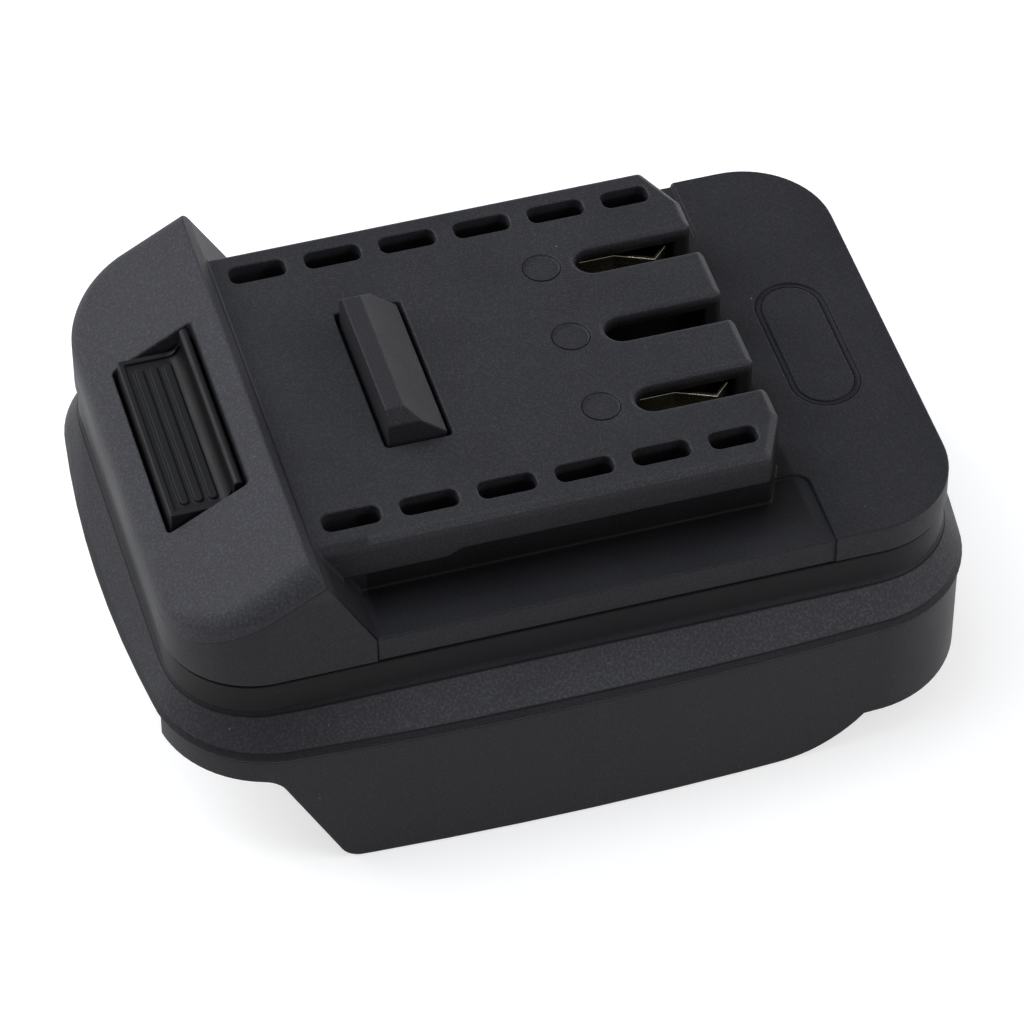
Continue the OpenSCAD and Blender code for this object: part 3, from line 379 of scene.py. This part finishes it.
def plate_light_and_shade(tree, place):
    """Tone of the upper housing: 1, more on the plate's bevels, which get a painted highlight, and
    less in the slots and grooves, which get painted shade.

    A bevel is where the face's normal n leans, with n.z near the cosine of 45 degrees."""
    axes = add(tree, "SeparateXYZ", (place,))
    lean = add(tree, "SeparateXYZ", (add(tree, "TexCoord")["Normal"],))["Z"]
    offset = add(tree, "Math", (lean, math.sqrt(0.5)), operation="SUBTRACT")[0]
    away = add(tree, "Math", (offset,), operation="ABSOLUTE")[0]
    bevel = add(tree, "MapRange", (away, *BEVEL_LEAN), **SMOOTH)[0]
    ahead = add(tree, "MapRange", (axes["X"], PLATE_START, PLATE_START + GRAIN_EDGE), **SMOOTH)[0]
    lit_bevels = overlap(tree, bevel, plate_top_light(tree, place), ahead)
    # Painted highlight on the plate's bevels
    paler = add(tree, "MapRange", (lit_bevels, 0, 1, 1, LIT_BEVEL_TONE))[0]
    # Painted shade in the slots and in the grooves beside the neck
    darker = add(tree, "MapRange", (plate_groove_shade(tree, axes), 0, 1, 1, SHADE_TONE))[0]
    return add(tree, "Math", (paler, darker), operation="MULTIPLY")[0]


def grained_nylon(name, look, coarse_mask, coarse_colour, other_mask, other_colour, tone_at):
    """Glass-filled nylon, injection moulded in a spark-eroded tool, the two housings.

    The eye sees a dark charcoal with a soft sheen and fine pale specks of grain. Where the first mask
    is 1, the face stands a hair proud and has a coarser, paler grain, and where the second is 1, it
    has another colour: painted light on the top of the rail plate, and painted shade on the rim of
    the base. The melt's flow changes the tone slowly, painted light and shade change it by place, and
    some dust lies on it."""
    material, tree, shader, place = blank_material(
        name, IOR=NYLON_IOR, Specular_IOR_Level=NYLON_SHEEN
    )
    coarse = coarse_mask(tree, place)
    fine_noise = add(tree, "TexNoise", {"Vector": place, "Scale": 1 / look.fine_grain})[0]
    coarse_noise = add(tree, "TexNoise", {"Vector": place, "Scale": 1 / look.grain, "Detail": 3})[0]
    pattern = add(tree, "Mix", {0: coarse, 2: fine_noise, 3: coarse_noise}, data_type="FLOAT")[0]
    smooth = add(
        tree,
        "Mix",
        {0: other_mask(tree, place), 6: opaque(look.colour), 7: opaque(other_colour)},
        data_type="RGBA",
    )[2]
    plain = add(tree, "Mix", {0: coarse, 6: smooth, 7: opaque(coarse_colour)}, data_type="RGBA")[2]
    # Slow flow marks, a painted shade line along the edge of the coarse grain, and pale worn tops
    marks = add(tree, "TexNoise", {"Vector": place, "Scale": 1 / FLOW_WIDTH})[0]
    flow = add(tree, "MapRange", (marks, *NOISE_SPAN, *FLOW_TONES))[0]
    line = overlap(tree, coarse, add(tree, "Math", (1.0, coarse), operation="SUBTRACT")[0])
    lined = add(tree, "Math", (line, EDGE_SHADE, flow), operation="MULTIPLY_ADD")[0]
    shade = add(tree, "Math", (lined, tone_at(tree, place)), operation="MULTIPLY")[0]
    tops = add(tree, "MapRange", (pattern, *GRAIN_TOPS, 0, look.wear))[0]
    tone = add(tree, "Math", (tops, shade, shade), operation="MULTIPLY_ADD")[0]
    toned = add(tree, "VectorMath", {0: plain, "Scale": tone}, operation="SCALE")["Vector"]
    # Specks about 0.2 mm across, of which few meet the surface
    speck = add(tree, "TexVoronoi", {"Vector": place, "Scale": 1 / SPECK_CELL})["Distance"]
    dust = add(tree, "MapRange", (speck, *SPECK_REACH, SPECK_COVER, 0))[0]
    colour = add(tree, "Mix", {0: dust, 6: toned, 7: opaque(look.dust_colour)}, data_type="RGBA")[2]
    finish = add(tree, "MapRange", (coarse, 0, 1, *NYLON_ROUGHNESS))[0]
    roughness = add(tree, "Math", (finish, flow), operation="MULTIPLY")[0]
    # Coarse faces stand as much proud as their grain is deep
    relief = add(tree, "MapRange", (coarse, 0, 1, FINE_RELIEF, 1))[0]
    height = add(tree, "Math", (pattern, relief, coarse), operation="MULTIPLY_ADD")[0]
    bump = add(tree, "Bump", {"Height": height, "Distance": GRAIN_DEPTH})["Normal"]
    wire(tree, shader, Base_Color=colour, Roughness=roughness, Normal=bump)
    return material


def plain_nylon(name, look):
    """Glass-filled nylon, injection moulded in a smoother tool, the hook and the terminal holders.

    The eye sees the housings' charcoal with a fine even grain and slow changes of sheen."""
    material, tree, shader, place = blank_material(
        name, IOR=NYLON_IOR, Specular_IOR_Level=NYLON_SHEEN
    )
    grain = add(tree, "TexNoise", {"Vector": place, "Scale": 1 / look.fine_grain})[0]
    tone = add(tree, "MapRange", (grain, *GRAIN_TOPS, PIT_TONE, PIT_TONE + look.wear))[0]
    # The colour that is painted on the plate's lit top
    colour = add(
        tree, "VectorMath", {0: look.lit_top_and_plain_colour, "Scale": tone}, operation="SCALE"
    )["Vector"]
    # Changes of sheen about 8 mm wide
    sheen = add(tree, "TexNoise", {"Vector": place, "Scale": 1 / (8 * MM)})[0]
    roughness = add(tree, "MapRange", (sheen, *NOISE_SPAN, 0.42, 0.5))[0]
    depth = FINE_RELIEF * GRAIN_DEPTH
    bump = add(tree, "Bump", {"Height": grain, "Distance": depth})["Normal"]
    wire(tree, shader, Base_Color=colour, Roughness=roughness, Normal=bump)
    return material


def satin_abs(look):
    """ABS moulded in a blasted tool, the thumb button.

    The eye sees a satin black with soft highlights that a thumb has polished in patches."""
    material, tree, shader, place = blank_material("satin_abs", IOR=1.54, Specular_IOR_Level=0.12)
    # Painted shade in the trough behind the ribs
    axes = add(tree, "SeparateXYZ", (place,))
    wall = add(tree, "MapRange", (axes["X"], TROUGH_WALL, TROUGH_WALL + 2 * GRAIN_EDGE), **SMOOTH)[0]
    under = add(tree, "MapRange", (axes["Z"], TROUGH_TOP, TROUGH_TOP - GRAIN_EDGE), **SMOOTH)[0]
    tone = add(tree, "MapRange", (overlap(tree, wall, under), 0, 1, 1, SHADE_TONE))[0]
    colour = add(
        tree, "VectorMath", {0: look.button_colour, "Scale": tone}, operation="SCALE"
    )["Vector"]
    # Thumb marks about 5 mm wide
    marks = add(tree, "TexNoise", {"Vector": place, "Scale": 1 / (5 * MM), "Detail": 4})[0]
    roughness = add(tree, "MapRange", (marks, *NOISE_SPAN, 0.36, 0.46))[0]
    # Orange peel about 0.5 mm wide and 3 microns high
    peel = add(tree, "TexNoise", {"Vector": place, "Scale": 1 / (0.5 * MM)})[0]
    bump = add(tree, "Bump", {"Height": peel, "Distance": 0.003 * MM})["Normal"]
    wire(tree, shader, Base_Color=colour, Roughness=roughness, Normal=bump)
    return material


def rolled_bronze(look):
    """Phosphor bronze strip, rolled, stamped and thinly plated, the contacts and blades.

    The eye sees a pale gold with fine rolling lines along X that stretch the highlights."""
    material, tree, shader, place = blank_material("rolled_bronze", Metallic=1.0)
    # Lines about 4 mm long, 0.12 mm wide and 1 micron high
    along, across = 1 / (4 * MM), 1 / (0.12 * MM)
    lines = add(tree, "Mapping", {"Vector": place, "Scale": (along, across, across)})["Vector"]
    rolling = add(tree, "TexNoise", {"Vector": lines, "Scale": 1})[0]
    roughness = add(tree, "MapRange", (rolling, *NOISE_SPAN, 0.1, 0.2))[0]
    bump = add(tree, "Bump", {"Height": rolling, "Distance": 0.001 * MM})["Normal"]
    # Tarnish in patches about 3 mm wide
    tarnish = add(tree, "TexNoise", {"Vector": place, "Scale": 1 / (3 * MM)})[0]
    tone = add(tree, "MapRange", (tarnish, *NOISE_SPAN, 0.85, 1.05))[0]
    colour = add(
        tree, "VectorMath", {0: look.contact_colour, "Scale": tone}, operation="SCALE"
    )["Vector"]
    wire(tree, shader, Base_Color=colour, Roughness=roughness, Normal=bump)
    return material


def zinc_plate(look):
    """Zinc-plated steel, the screws.

    The eye sees a cool grey metal with soft cloudy patches and a slightly rough plating."""
    material, tree, shader, place = blank_material(
        "zinc_plate", Metallic=1.0, Base_Color=opaque(look.steel_colour)
    )
    # Clouds about 1.5 mm wide, in a plating uneven by 5 microns
    cloud = add(tree, "TexNoise", {"Vector": place, "Scale": 1 / (1.5 * MM), "Detail": 3})[0]
    roughness = add(tree, "MapRange", (cloud, *NOISE_SPAN, 0.28, 0.45))[0]
    bump = add(tree, "Bump", {"Height": cloud, "Distance": 0.005 * MM})["Normal"]
    wire(tree, shader, Roughness=roughness, Normal=bump)
    return material


def drawn_wire(look):
    """Drawn spring steel wire, the two latch springs.

    The eye sees a bright metal whose sheen varies in small patches."""
    material, tree, shader, place = blank_material(
        "drawn_wire", Metallic=1.0, Base_Color=opaque(look.steel_colour)
    )
    # Patches about 0.4 mm wide
    sheen = add(tree, "TexNoise", {"Vector": place, "Scale": 1 / (0.4 * MM)})[0]
    wire(tree, shader, Roughness=add(tree, "MapRange", (sheen, *NOISE_SPAN, 0.18, 0.32))[0])
    return material


def tin_solder(look):
    """Tin solder, melted on and set.

    The eye sees a soft silver whose skin froze in shallow ripples."""
    material, tree, shader, place = blank_material(
        "tin_solder", Metallic=1.0, Base_Color=opaque(look.solder_colour)
    )
    # Ripples about 0.6 mm wide and 20 microns high
    ripple = add(tree, "TexNoise", {"Vector": place, "Scale": 1 / (0.6 * MM)})[0]
    roughness = add(tree, "MapRange", (ripple, *NOISE_SPAN, 0.25, 0.4))[0]
    bump = add(tree, "Bump", {"Height": ripple, "Distance": 0.02 * MM})["Normal"]
    wire(tree, shader, Roughness=roughness, Normal=bump)
    return material


def extruded_vinyl(name, colour):
    """Soft vinyl, extruded over the strands of a lead or shrunk on as a sleeve.

    The eye sees a full colour with a waxy sheen that varies along the lead."""
    material, tree, shader, place = blank_material(name, Base_Color=opaque(colour), IOR=1.54)
    # A skin uneven by 10 microns over about 1.2 mm
    skin = add(tree, "TexNoise", {"Vector": place, "Scale": 1 / (1.2 * MM), "Detail": 3})[0]
    roughness = add(tree, "MapRange", (skin, *NOISE_SPAN, 0.38, 0.48))[0]
    bump = add(tree, "Bump", {"Height": skin, "Distance": 0.01 * MM})["Normal"]
    wire(tree, shader, Roughness=roughness, Normal=bump)
    return material


def dress(names, material, edge, limit=38, split=32):
    """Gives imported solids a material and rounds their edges.

    Their loose triangles are merged and flat ones are joined. Faces of many sides are cut again,
    so that rounding can't make them cross themselves. Edges that turn by more than the limit in
    degrees are bevelled, creases that turn by more than the split stay sharp, and the normals
    follow the larger faces."""
    for name in names:
        node = NODES[name]
        node.data.materials.clear()
        node.data.materials.append(material)
        weld = node.modifiers.new("merged", "WELD")
        weld.merge_threshold = WELD_GAP
        flat = node.modifiers.new("flat", "DECIMATE")
        flat.decimate_type = "DISSOLVE"
        flat.angle_limit = FLAT_TURN
        cut = node.modifiers.new("cut", "TRIANGULATE")
        cut.min_vertices = CUT_SIDES
        cut.ngon_method = "BEAUTY"
        if edge:
            bevel = node.modifiers.new("edge", "BEVEL")
            bevel.width = edge
            bevel.segments = EDGE_STEPS
            bevel.loop_slide = False
            bevel.limit_method = "ANGLE"
            bevel.angle_limit = math.radians(limit)
            bevel.use_clamp_overlap = False
            bevel.face_strength_mode = "FSTR_ALL"
        crease = node.modifiers.new("crease", "EDGE_SPLIT")
        crease.split_angle = math.radians(split)
        normals = node.modifiers.new("normals", "WEIGHTED_NORMAL")
        normals.mode = "FACE_AREA_WITH_ANGLE"
        normals.keep_sharp = True
        normals.use_face_influence = True


class ADAPTER_OT_housings(bpy.types.Operator):
    """Finish the two moulded housings with grain and soft edges"""

    bl_idname = "adapter.housings"
    bl_label = "Finish the housings"

    def execute(self, context):
        look = context.scene.adapter_housing
        # The plate's top is painted lighter than the faces below it, which stand in painted shade
        top = grained_nylon(
            "grained_nylon_top",
            look,
            shoulder_grain,
            look.shoulder_colour,
            plate_top_light,
            look.lit_top_and_plain_colour,
            plate_light_and_shade,
        )
        # The rim of the base gets painted shade, and its band darkens towards the button end as
        # painted shade
        base = grained_nylon(
            "grained_nylon_base",
            look,
            band_grain,
            look.band_colour,
            rim_shade,
            look.rim_shade_colour,
            button_end_shade,
        )
        dress(["top_housing"], top, look.edge)
        # The limit and the split leave the hollow line above the flared band sharp
        dress(["base_housing"], base, look.edge, limit=55, split=25)
        return {"FINISHED"}


class ADAPTER_OT_latch(bpy.types.Operator):
    """Finish the button, the hook and the latch springs"""

    bl_idname = "adapter.latch"
    bl_label = "Finish the latch"

    def execute(self, context):
        look = context.scene.adapter_latch
        metal = context.scene.adapter_metal
        dress(["release_button"], satin_abs(look), look.edge)
        nylon = plain_nylon("plain_nylon_hook", context.scene.adapter_housing)
        dress(["lock_hook"], nylon, look.edge)
        springs = ["latch_spring_left", "latch_spring_right"]
        dress(springs, drawn_wire(metal), 0)
        # Each spring gets a mesh of its own
        for name in springs:
            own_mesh(NODES[name])
        return {"FINISHED"}


class ADAPTER_OT_terminals(bpy.types.Operator):
    """Finish the contacts, the blades and the mouldings that hold them"""

    bl_idname = "adapter.terminals"
    bl_label = "Finish the terminals"

    def execute(self, context):
        metal = context.scene.adapter_metal
        strip = ["contact_positive", "contact_negative", "blade_positive", "blade_negative"]
        dress(strip, rolled_bronze(metal), metal.edge)
        housing = context.scene.adapter_housing
        nylon = plain_nylon("plain_nylon_holder", housing)
        dress(["contact_carrier", "terminal_block"], nylon, housing.edge)
        return {"FINISHED"}


class ADAPTER_OT_screws(bpy.types.Operator):
    """Finish the plated screws"""

    bl_idname = "adapter.screws"
    bl_label = "Finish the screws"

    def execute(self, context):
        metal = context.scene.adapter_metal
        dress(["housing_screws", "block_screws", "carrier_screws"], zinc_plate(metal), metal.edge)
        return {"FINISHED"}


class ADAPTER_OT_wiring(bpy.types.Operator):
    """Finish the inner leads, their sleeves and their solder"""

    bl_idname = "adapter.wiring"
    bl_label = "Finish the wiring"

    def execute(self, context):
        look = context.scene.adapter_wiring
        metal = context.scene.adapter_metal
        red = extruded_vinyl("extruded_vinyl_red", look.positive_colour)
        black = extruded_vinyl("extruded_vinyl_black", look.negative_colour)
        dress(["lead_positive"], red, 0)
        dress(["lead_negative"], black, 0)
        dress(["sleeve_positive"], red, metal.edge)
        dress(["sleeve_negative"], black, metal.edge)
        dress(["solder_joints"], tin_solder(metal), metal.edge)
        return {"FINISHED"}


def floor_disc(radius, rings, sectors):
    """Flat disc just under the feet: (u, v) gives radius u * R at angle v."""
    turn = np.linspace(0, 2 * np.pi, sectors, endpoint=False)
    u, v = np.meshgrid(np.linspace(0, radius, rings + 1)[1:], turn, indexing="ij")
    level = np.full(u.size, CAD_BOX[0][2] - FLOOR_GAP)
    ring = np.column_stack([(u * np.cos(v)).ravel(), (u * np.sin(v)).ravel(), level])
    points = np.vstack([ring, [0, 0, level[0]]])
    i, j = np.meshgrid(np.arange(rings - 1), np.arange(sectors), indexing="ij")
    k = (j + 1) % sectors
    quads = np.stack([i, i + 1, i + 1, i], -1) * sectors + np.stack([j, j, k, k], -1)
    first = np.arange(sectors)
    fan = np.column_stack([np.full(sectors, len(ring)), first, (first + 1) % sectors])
    mesh = bpy.data.meshes.new("floor")
    mesh.from_pydata(points.tolist(), [], quads.reshape(-1, 4).tolist() + fan.tolist())
    return mesh


def pale_floor(look):
    """Matt white table top. Rays that look at it see it lifted to white, and it keeps the shadow."""
    material, tree, shader, _ = blank_material(
        "matt_white_table",
        Base_Color=opaque(look.floor_colour),
        Roughness=0.9,
        Specular_IOR_Level=0.0,
        Emission_Color=(1, 1, 1, 1),
    )
    rays = add(tree, "LightPath")
    eye = add(tree, "Math", (rays["Is Camera Ray"], rays["Is Glossy Ray"]), operation="ADD")[0]
    seen = add(tree, "Math", (eye, rays["Is Transmission Ray"]), operation="MAXIMUM")[0]
    strength = add(tree, "Math", (seen, look.lift), operation="MULTIPLY")[0]
    wire(tree, shader, Emission_Strength=strength)
    return material


def studio_sky():
    """Pale walls near the horizon and a ceiling a little darker, an even fill for all sides."""
    world = bpy.data.worlds.new("studio_sky")
    world.use_nodes = True
    tree = world.node_tree
    direction = add(tree, "TexCoord")["Generated"]
    rise = add(tree, "SeparateXYZ", (direction,))["Z"]
    strength = add(tree, "MapRange", (rise, *SKY_RISE, *SKY_STRENGTH), **SMOOTH)[0]
    background = tree.nodes["Background"]
    background.inputs["Color"].default_value = (1, 1, 1, 1)
    wire(tree, background, Strength=strength)
    return world


def softbox(name, toward, distance, size, power, colour):
    """Area lamp at a distance in a direction from the middle of the object, turned to face it."""
    lamp = bpy.data.lights.new(name, "AREA")
    lamp.shape = "RECTANGLE"
    lamp.size, lamp.size_y = size
    lamp.energy = power
    lamp.color = colour
    middle = (CAD_BOX[0] + CAD_BOX[1]) / 2
    way = Vector(toward).normalized()
    facing = way.to_track_quat("Z", "Y").to_matrix().to_4x4()
    holder = bpy.data.objects.new(name, lamp)
    holder.matrix_world = Matrix.Translation(middle + way * distance) @ facing
    bpy.context.scene.collection.objects.link(holder)


class ADAPTER_OT_stage(bpy.types.Operator):
    """Set the floor, the studio light and the camera"""

    bl_idname = "adapter.stage"
    bl_label = "Set the stage"

    def execute(self, context):
        look = context.scene.adapter_stage
        scene = context.scene
        mesh = floor_disc(FLOOR_RADIUS, rings=6, sectors=96)
        mesh.materials.append(pale_floor(look))
        floor = bpy.data.objects.new("floor", mesh)
        scene.collection.objects.link(floor)
        scene.world = studio_sky()
        for lamp in LAMPS:
            softbox(*lamp)
        azimuth, elevation = look.azimuth, look.elevation
        level = math.cos(elevation)
        back = Vector((math.sin(azimuth) * level, -math.cos(azimuth) * level, math.sin(elevation)))
        right = Vector((math.cos(azimuth), math.sin(azimuth), 0))
        turn = Matrix((right, back.cross(right), back)).transposed().to_4x4()
        camera = bpy.data.objects.new("camera", bpy.data.cameras.new("camera"))
        camera.data.lens = look.lens
        camera.data.sensor_width = SENSOR_WIDTH
        camera.matrix_world = Matrix.Translation(Vector(look.target) + back * look.distance) @ turn
        scene.collection.objects.link(camera)
        scene.camera = camera
        scene.view_settings.view_transform = "Standard"
        return {"FINISHED"}


OPERATORS = (
    ADAPTER_OT_housings,
    ADAPTER_OT_latch,
    ADAPTER_OT_terminals,
    ADAPTER_OT_screws,
    ADAPTER_OT_wiring,
    ADAPTER_OT_stage,
)
LOOKS = {
    "adapter_housing": HousingLook,
    "adapter_latch": LatchLook,
    "adapter_metal": MetalLook,
    "adapter_wiring": WiringLook,
    "adapter_stage": StageLook,
}


class ADAPTER_PT_looks(bpy.types.Panel):
    """Lists the sizes, the colours and the steps"""

    bl_idname = "ADAPTER_PT_looks"
    bl_label = "Battery Adapter"
    bl_space_type = "VIEW_3D"
    bl_region_type = "UI"
    bl_category = "Adapter"

    def draw(self, context):
        for name, group in LOOKS.items():
            box = self.layout.box()
            for prop in group.__annotations__:
                box.prop(getattr(context.scene, name), prop)
        for operator in OPERATORS:
            self.layout.operator(operator.bl_idname)


CLASSES = (*LOOKS.values(), *OPERATORS, ADAPTER_PT_looks)


def register():
    """Registers the classes and hangs the looks on the scene."""
    for item in CLASSES:
        bpy.utils.register_class(item)
    for name, group in LOOKS.items():
        setattr(bpy.types.Scene, name, PointerProperty(type=group))


def unregister():
    """Takes the looks off the scene and unregisters the classes."""
    for name in LOOKS:
        delattr(bpy.types.Scene, name)
    for item in reversed(CLASSES):
        bpy.utils.unregister_class(item)


def main():
    """Runs every step in order."""
    register()
    bpy.ops.adapter.housings()
    bpy.ops.adapter.latch()
    bpy.ops.adapter.terminals()
    bpy.ops.adapter.screws()
    bpy.ops.adapter.wiring()
    bpy.ops.adapter.stage()


if __name__ == "__main__":
    main()
